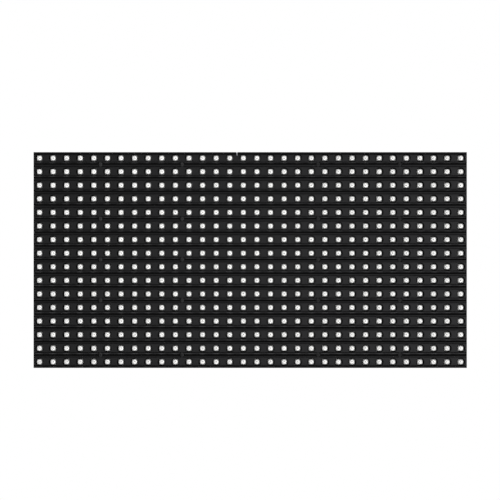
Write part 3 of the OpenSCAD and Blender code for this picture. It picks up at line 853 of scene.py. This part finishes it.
def threaded_insert():
    rings = [[(x, -insert_length, z) for x, z in circle(insert_radius, THREAD_SIDES)],
             [(x, -MOUTH_EDGE / 2, z) for x, z in circle(insert_radius, THREAD_SIDES)],
             [(x, 0, z) for x, z in circle(insert_radius - MOUTH_EDGE / 2, THREAD_SIDES)],
             [(x, 0, z) for x, z in circle(BORE_RADIUS + THREAD_DEPTH + MOUTH_EDGE / 3, THREAD_SIDES)]]
    depth = MOUTH_EDGE
    while depth < insert_length - MOUTH_EDGE:
        ring = []
        for k in range(THREAD_SIDES):
            phase = (depth / THREAD_PITCH + k / THREAD_SIDES) % 1
            radius = BORE_RADIUS + THREAD_DEPTH * abs(2 * phase - 1)
            turn = 2 * math.pi * k / THREAD_SIDES
            ring.append((radius * math.cos(turn), -depth, radius * math.sin(turn)))
        rings.append(ring)
        depth += THREAD_PITCH / THREAD_ROWS
    rings.append([(x, -insert_length, z) for x, z in circle(BORE_RADIUS, THREAD_SIDES)])
    rings.append(rings[0])
    return lofted(rings, closed_ends=False)


insert_brass = make_finish(
    "insert_brass", dark=(0.55, 0.39, 0.14), light=(0.68, 0.50, 0.20), patch=0.8 * MM,
    roughness=(0.22, 0.38), grain=(0.1 * MM, 0.006 * MM), metallic=1.0,
)
one_insert = threaded_insert()
mouths = [Vector((centre(b).x, b[1].y, centre(b).z)) for b in insert_boxes]
copies = [moved(one_insert, mouth) for mouth in mouths]
inserts = new_piece("threaded_inserts", insert_brass, copies)
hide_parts("frame_inserts")

# %% Black screws
screw_black = make_finish(
    "screw_steel", dark=grey(0.010), light=grey(0.018), patch=0.3 * MM, roughness=(0.4, 0.55),
    specular=0.15,
)
dress(screw_black, "mask_screws")

# %% [markdown]
# ## Circuit board
# A coat of green lacquer lies over laminate and copper. The glass weave under it shows as a faint relief.
# The lacquer looks darker over bare laminate than over copper, so the tracks will get a lighter green.

# %% Laminate
board_green = make_finish(
    "board_laminate", dark=(0.006, 0.034, 0.017), light=(0.010, 0.050, 0.026), patch=4 * MM,
    roughness=(0.26, 0.36), grain=(0.5 * MM, 0.012 * MM), specular=0.3,
)
dress(board_green, "circuit_board")

# %% [markdown]
# ## Lead feet
# Pads, solder and tracks all start where a lead meets the board. Each lead knows only its own box, so the
# nearest chip body tells which way it points.

# %% Find the feet
LEAD_OVERLAP = 0.5 * MM
chip_nodes = [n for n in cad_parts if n.startswith("driver_bank_")]
chip_nodes += ["buffer_chips", "decoder_chip", "row_switches"]
chip_boxes = [box for n in sorted(chip_nodes) for box in loose_boxes(n)]


def foot_of(lead):
    """Where a lead's foot ends on the board, which way it points, its width and its chip's centre."""
    at = centre(lead)
    body = min(chip_boxes, key=lambda box: (centre(box) - at).length)
    middle = centre(body)
    if lead[0].z > body[1].z - LEAD_OVERLAP or lead[1].z < body[0].z + LEAD_OVERLAP:
        way = Vector((0, math.copysign(1, at.z - middle.z)))
        end = lead[1].z if way.y > 0 else lead[0].z
        return Vector((at.x, end)), way, lead[1].x - lead[0].x, middle
    way = Vector((math.copysign(1, at.x - middle.x), 0))
    end = lead[1].x if way.x > 0 else lead[0].x
    return Vector((end, at.z)), way, lead[1].z - lead[0].z, middle


driver_feet = [foot_of(lead) for lead in loose_boxes("driver_leads")]
logic_feet = [foot_of(lead) for lead in loose_boxes("logic_leads")]
print(len(driver_feet), "driver leads,", len(logic_feet), "logic leads")

# %% [markdown]
# ## Solder
# Under each foot lies a tinned pad a little wider than the lead, and at the toe the solder climbs up the
# lead in a small ramp. The plated ends of the chip capacitors and resistors have the same.

# %% One soldered foot
PAD_BACK, PAD_FRONT = 0.75 * MM, 0.3 * MM
PAD_MARGIN = 0.05 * MM
SOLDER_T = 0.03 * MM
FILLET_L, FILLET_H = 0.22 * MM, 0.16 * MM
FILLET_SHARE = 0.9


def solder_at(foot, way, width, back=PAD_BACK):
    side = Vector((-way.y, way.x)) * (width / 2 + PAD_MARGIN)
    heel, toe = foot - way * back, foot + way * PAD_FRONT
    plate = prism([tuple(p) for p in (heel - side, toe - side, toe + side, heel + side)],
                  board_back_y, board_back_y + SOLDER_T)
    low = board_back_y + SOLDER_T
    ends = []
    for s in (side * FILLET_SHARE, -side * FILLET_SHARE):
        near, far = foot + s, foot + way * FILLET_L + s
        ends.append([(near.x, low, near.y), (near.x, low + FILLET_H, near.y), (far.x, low, far.y)])
    return join([plate, lofted(ends)])


# %% Solder all feet
SMALL_PAD_BACK = 0.4 * MM
solder_tin = make_finish(
    "solder_tin", dark=(0.55, 0.56, 0.57), light=(0.72, 0.73, 0.74), patch=0.3 * MM,
    roughness=(0.18, 0.34), metallic=1.0,
)
small_bodies = [centre(b) for n in ("bypass_capacitors", "set_resistors") for b in loose_boxes(n)]
solder = [solder_at(foot, way, width) for foot, way, width, _ in driver_feet + logic_feet]
for low, high in loose_boxes("end_caps"):
    at = centre((low, high))
    body = min(small_bodies, key=lambda middle: (middle - at).length)
    way = Vector((0, math.copysign(1, at.z - body.z)))
    foot = Vector((at.x, high.z if way.y > 0 else low.z))
    solder.append(solder_at(foot, way, high.x - low.x, SMALL_PAD_BACK))
new_piece("solder_pads", solder_tin, solder)

# %% [markdown]
# ## Tracks and vias
# Each driver lead runs out of its pad, spreads to a wider pitch and drops through the board in a via, on
# its way to a lamp on the other side. Bundles of data tracks cross the whole board between the rows of
# chips, and a sheet of copper under the power header feeds the cans beside it. Four vias behind each lamp
# carry its leads, and a track joins those of one column. Tracks on one side of a board never cross, so
# these last ones are left out wherever they would enter the ground of something else.

# %% Routing
TRACK_W = 0.2 * MM
TRACK_T = 0.02 * MM
VIA_R, VIA_HOLE_R, VIA_SIDES = 0.3 * MM, 0.13 * MM, 12
SPREAD = 1.5
ESCAPE, VIA_REACH, VIA_STAGGER = 0.5 * MM, 5.3 * MM, 0.8 * MM
LAST_STEP = 0.2 * MM
track_y = board_back_y + TRACK_T
tracks, vias, holes = [], [], []


def add_track(*points):
    tracks.append(ribbon([tuple(p) for p in points], TRACK_W, board_back_y, track_y))


def add_via(x, z, sides=VIA_SIDES):
    vias.append(washer(VIA_R, VIA_HOLE_R, board_back_y, track_y + TRACK_T, sides, x, z))
    holes.append(prism(circle(VIA_HOLE_R, sides, x, z), board_back_y, board_back_y + TRACK_T / 2))


for k, (foot, way, _, middle) in enumerate(driver_feet):
    shift = (foot.x - middle.x) * (SPREAD - 1)
    first = foot + way * (PAD_FRONT + ESCAPE)
    bend = first + way * abs(shift) + Vector((shift, 0))
    via = Vector((bend.x, middle.z + way.y * (VIA_REACH + VIA_STAGGER * (k % 2))))
    if abs(via.y - foot.y) < abs(bend.y - foot.y):
        via = bend + way * LAST_STEP
    add_track(foot, first, bend, via)
    add_via(via.x, via.y)
print(len(driver_feet), "tracks fan out from the drivers")

# %% Bundles
BUNDLE_PITCH = 0.7 * MM
BUNDLES = ((40.0 * MM, 5), (26.5 * MM, 2), (58.5 * MM, 4), (62.4 * MM, 4))
BUNDLE_STEP = 2 * MM
BOARD_MARGIN = 6 * MM
GROUND = 0.5 * MM
bundle_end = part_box("circuit_board")[1].x - BOARD_MARGIN
grounds = []
for z0, count in BUNDLES:
    for side in (-1, 1):
        for k in range(count):
            z = side * (z0 + k * BUNDLE_PITCH)
            end = bundle_end - (count - k) * BUNDLE_STEP
            add_track((-end, z), (end, z))
            add_via(-end, z)
            add_via(end, z)
        edges = sorted((side * (z0 - GROUND), side * (z0 + (count - 1) * BUNDLE_PITCH + GROUND)))
        grounds.append((-bundle_end, bundle_end, *edges))
print(len(grounds), "bundles cross the board")

# %% Power sheet
SHEET_MARGIN, SHEET_T = 1.6 * MM, 0.008 * MM
SHEET_VIA_X, SHEET_VIA_Z = 1.6 * MM, 2 * MM
SHEET_VIA_ROWS = range(-3, 4)
base_boxes = loose_boxes("capacitor_bases")
sheet_x = max(high.x for _, high in base_boxes) + SHEET_MARGIN
sheet_z = max(high.z for _, high in base_boxes) + SHEET_MARGIN
inner_x, inner_z = sheet_x - 2 * SHEET_MARGIN, sheet_z - 2 * SHEET_MARGIN
right_half = [(inner_x, -sheet_z), (sheet_x, -inner_z), (sheet_x, inner_z), (inner_x, sheet_z)]
left_half = [(-x, -z) for x, z in right_half]
sheet = prism(right_half + left_half, board_back_y, board_back_y + SHEET_T)
grounds.append((-sheet_x - GROUND, sheet_x + GROUND, -sheet_z - GROUND, sheet_z + GROUND))
power_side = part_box("power_header")[1].x + SHEET_VIA_X
for row in SHEET_VIA_ROWS:
    for side in (-1, 1):
        add_via(side * power_side, row * SHEET_VIA_Z)
        add_via(side * (power_side + SHEET_VIA_X), row * SHEET_VIA_Z)
print("sheet", round(2 * sheet_x / MM, 1), "by", round(2 * sheet_z / MM, 1), "mm")

# %% Grounds that lamp tracks keep out of
GROUND_X, GROUND_Z = 2.0 * MM, 4.6 * MM
KEEP_NODES = ("input_header", "output_header", "mask_screws")
board_edge_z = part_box("circuit_board")[1].z
grounds.append((cad_low.x, cad_high.x, board_edge_z - GROUND, cad_high.z))
grounds += [(low.x - GROUND_X, high.x + GROUND_X, low.z - GROUND_Z, high.z + GROUND_Z)
            for low, high in chip_boxes]
grounds += [(low.x - GROUND_X, high.x + GROUND_X, low.z - GROUND_X, high.z + GROUND_X)
            for n in KEEP_NODES for low, high in loose_boxes(n)]


def is_free(x, z):
    return not any(x0 < x < x1 and z0 < z < z1 for x0, x1, z0, z1 in grounds)


print(len(grounds), "grounds kept free of lamp tracks")

# %% Lamp vias and tracks
LAMP_VIA_X, LAMP_VIA_Z = 1.15 * MM, 1.5 * MM
LAMP_VIA_SIDES = 8
PROBES = 8
for x in lamp_xs:
    for side in (-1, 1):
        via_x = x + side * LAMP_VIA_X
        stops = [z + s * LAMP_VIA_Z for z in lamp_zs for s in (-1, 1)]
        for z in stops:
            if is_free(via_x, z):
                add_via(via_x, z, LAMP_VIA_SIDES)
        start = stops[0]
        for z0, z1 in zip(stops, stops[1:] + [board_edge_z]):
            if all(is_free(via_x, z0 + (z1 - z0) * k / PROBES) for k in range(PROBES + 1)):
                continue
            if z0 > start:
                add_track((via_x, start), (via_x, z0))
            start = z1
print(len(tracks), "tracks and", len(vias), "vias")

# %% Copper under lacquer
track_green = make_finish(
    "track_green", dark=(0.012, 0.085, 0.040), light=(0.018, 0.115, 0.055), patch=5 * MM,
    roughness=(0.24, 0.34), specular=0.3,
)
new_piece("board_tracks", track_green, tracks)
new_piece("power_sheet", track_green, [sheet])
new_piece("board_vias", track_green, vias)
new_piece("via_holes", potting_black, holes)

# %% [markdown]
# ## Printed outlines
# White ink marks each part's place: a line at each end of a chip and a dot at its first lead, a box around
# each can and header, and an arrow for the way the data runs. The tile carries no words.

# %% Outlines and dots
INK_W = 0.16 * MM
INK_T = 0.015 * MM
INK_GAP = 0.5 * MM
DOT_R, DOT_SIDES = 0.3 * MM, 12
ink_y = board_back_y + INK_T
ink = []


def ink_frame(low, high):
    """A printed line around a box."""
    outer, inner = [
        rectangle(low.x - gap, high.x + gap, low.z - gap, high.z + gap)
        for gap in (INK_GAP + INK_W / 2, INK_GAP - INK_W / 2)
    ]
    return flat_ring(outer, inner, board_back_y, ink_y)


for low, high in chip_boxes:
    if high.x - low.x > high.z - low.z:
        lines = [((x, low.z), (x, high.z)) for x in (low.x - INK_GAP, high.x + INK_GAP)]
        dot_x, dot_z = low.x - 2 * INK_GAP, low.z
    else:
        lines = [((low.x, z), (high.x, z)) for z in (low.z - INK_GAP, high.z + INK_GAP)]
        dot_x, dot_z = low.x, low.z - 2 * INK_GAP
    ink += [ribbon(line, INK_W, board_back_y, ink_y) for line in lines]
    ink.append(prism(circle(DOT_R, DOT_SIDES, dot_x, dot_z), board_back_y, ink_y))
for node in ("input_header", "output_header", "power_header"):
    ink.append(ink_frame(*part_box(node)))
for low, high in base_boxes:
    ink.append(ink_frame(low, high))
print(len(ink), "outlines and dots")

# %% Data arrows
ARROW_ASIDE, ARROW_UP = 14 * MM, 21 * MM
ARROW_HALF, SHAFT_HALF = 2.4 * MM, 0.6 * MM
HEAD_HALF, HEAD_BACK = 1.8 * MM, 0.2 * MM
arrow = [(ARROW_HALF, 0), (HEAD_BACK, HEAD_HALF), (HEAD_BACK, SHAFT_HALF), (-ARROW_HALF, SHAFT_HALF)]
arrow += [(x, -z) for x, z in reversed(arrow[1:])]
for node, shift in (("input_header", ARROW_ASIDE), ("output_header", -ARROW_ASIDE)):
    at = centre(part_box(node)) + Vector((shift, 0, ARROW_UP))
    ink.append(prism([(at.x + x, at.z + z) for x, z in arrow], board_back_y, ink_y))
print_white = make_finish(
    "print_white", dark=(0.60, 0.60, 0.58), light=(0.74, 0.74, 0.72), patch=0.6 * MM,
    roughness=(0.55, 0.7),
)
new_piece("board_print", print_white, ink)

# %% [markdown]
# ## Chips and their leads
# The chips are black epoxy, moulded against a lightly blasted steel face, and the leads are tin plated.

# %% Epoxy and tin
chip_epoxy = make_finish(
    "chip_epoxy", dark=grey(0.014, 1.0), light=grey(0.024, 1.0), patch=0.25 * MM, roughness=(0.45, 0.6),
    grain=(0.12 * MM, 0.012 * MM),
)
dress(chip_epoxy, *chip_nodes)
lead_tin = make_finish(
    "lead_tin", dark=(0.58, 0.59, 0.60), light=(0.74, 0.75, 0.76), patch=0.4 * MM, roughness=(0.22, 0.4),
    grain=(0.08 * MM, 0.004 * MM), metallic=1.0,
)
dress(lead_tin, "driver_leads", "logic_leads", "end_caps")

# %% [markdown]
# ## Capacitors and resistors
# The cans are drawn aluminium, so their sheen runs along the can. A black printed segment on top marks the
# minus side, and three shallow scores let the top open safely. A flat tinned foot leaves each base on both
# sides. The small parts are tan ceramic and black glaze between tinned ends.

# %% Cans
can_metal = make_finish(
    "can_aluminium", dark=(0.62, 0.63, 0.65), light=(0.78, 0.79, 0.81), patch=0.5 * MM,
    roughness=(0.26, 0.4), grain=(0.15 * MM, 0.006 * MM), metallic=1.0, stretch=(1, 0.06, 1),
)
dress(can_metal, "capacitor_cans")
base_black = make_finish(
    "base_plastic", dark=grey(0.012), light=grey(0.022), patch=1 * MM, roughness=(0.45, 0.6),
    grain=(0.2 * MM, 0.015 * MM),
)
dress(base_black, "capacitor_bases")

# %% Marks on the cans
PRINT_CHORD, PRINT_EDGE, PRINT_STEPS = 0.35, 0.5 * MM, 16
SCORE_W, SCORE_T, SCORE_REACH = 0.12 * MM, 0.01 * MM, 0.8
segments, scores = [], []
for low, high in loose_boxes("capacitor_cans"):
    at, top = centre((low, high)), high.y
    radius = (high.x - low.x) / 2 - PRINT_EDGE
    reach = math.acos(PRINT_CHORD)
    arc = [math.pi + reach * (2 * k / PRINT_STEPS - 1) for k in range(PRINT_STEPS + 1)]
    segments.append(prism([(at.x + radius * math.cos(t), at.z + radius * math.sin(t)) for t in arc],
                          top, top + SCORE_T))
    for turn in thirds:
        tip = (at.x + radius * SCORE_REACH * math.cos(turn), at.z + radius * SCORE_REACH * math.sin(turn))
        scores.append(ribbon([(at.x, at.z), tip], SCORE_W, top, top + 2 * SCORE_T))
ink_black = make_finish(
    "ink_black", dark=grey(0.008), light=grey(0.014), patch=0.4 * MM, roughness=(0.5, 0.65),
)
new_piece("can_polarity", ink_black, segments)
new_piece("can_scores", can_metal, scores)

# %% Feet of the cans
FOOT_L, FOOT_W, FOOT_T = 0.9 * MM, 0.7 * MM, 0.22 * MM
feet = []
for low, high in base_boxes:
    z = centre((low, high)).z
    for edge, way in ((low.x, -1), (high.x, 1)):
        foot, solder_plate = (FOOT_L, FOOT_W, FOOT_T), (FOOT_L + PAD_FRONT, 2 * FOOT_W, SOLDER_T)
        for length, width, thickness in (foot, solder_plate):
            x0, x1 = sorted((edge, edge + way * length))
            outline = rectangle(x0, x1, z - width / 2, z + width / 2)
            feet.append(prism(outline, board_back_y, board_back_y + thickness))
new_piece("can_feet", lead_tin, feet)

# %% Small parts
ceramic_tan = make_finish(
    "capacitor_ceramic", dark=(0.33, 0.22, 0.12), light=(0.42, 0.29, 0.17), patch=0.5 * MM,
    roughness=(0.45, 0.6),
)
dress(ceramic_tan, "bypass_capacitors")
glaze_black = make_finish(
    "resistor_glaze", dark=grey(0.012), light=grey(0.02), patch=0.4 * MM, roughness=(0.15, 0.3),
)
dress(glaze_black, "set_resistors")

# %% [markdown]
# ## Headers
# The data headers are black with gold pins, and the power header is natural nylon with tinned pins. Pins
# are drawn wire, so their sheen runs along them.

# %% Header plastics and pins
HEADER_EDGE = 0.12 * MM
header_black = make_finish(
    "header_plastic", dark=grey(0.011), light=grey(0.019), patch=1.5 * MM, roughness=(0.38, 0.52),
    grain=(0.2 * MM, 0.015 * MM),
)
dress(header_black, "input_header", "output_header")
nylon = make_finish(
    "power_nylon", dark=(0.68, 0.64, 0.53), light=(0.76, 0.72, 0.61), patch=2 * MM,
    roughness=(0.35, 0.5), grain=(0.3 * MM, 0.015 * MM),
)
dress(nylon, "power_header")
pin_gold = make_finish(
    "pin_gold", dark=(0.70, 0.50, 0.18), light=(0.82, 0.61, 0.26), patch=0.6 * MM, roughness=(0.2, 0.34),
    metallic=1.0, stretch=(1, 0.1, 1),
)
dress(pin_gold, "input_pins", "output_pins")
power_tin = make_finish(
    "power_tin", dark=(0.60, 0.61, 0.62), light=(0.76, 0.77, 0.78), patch=0.6 * MM,
    roughness=(0.2, 0.34), metallic=1.0, stretch=(1, 0.1, 1),
)
dress(power_tin, "power_pins")
for node in ("input_header", "output_header", "power_header"):
    break_edges(node, HEADER_EDGE)
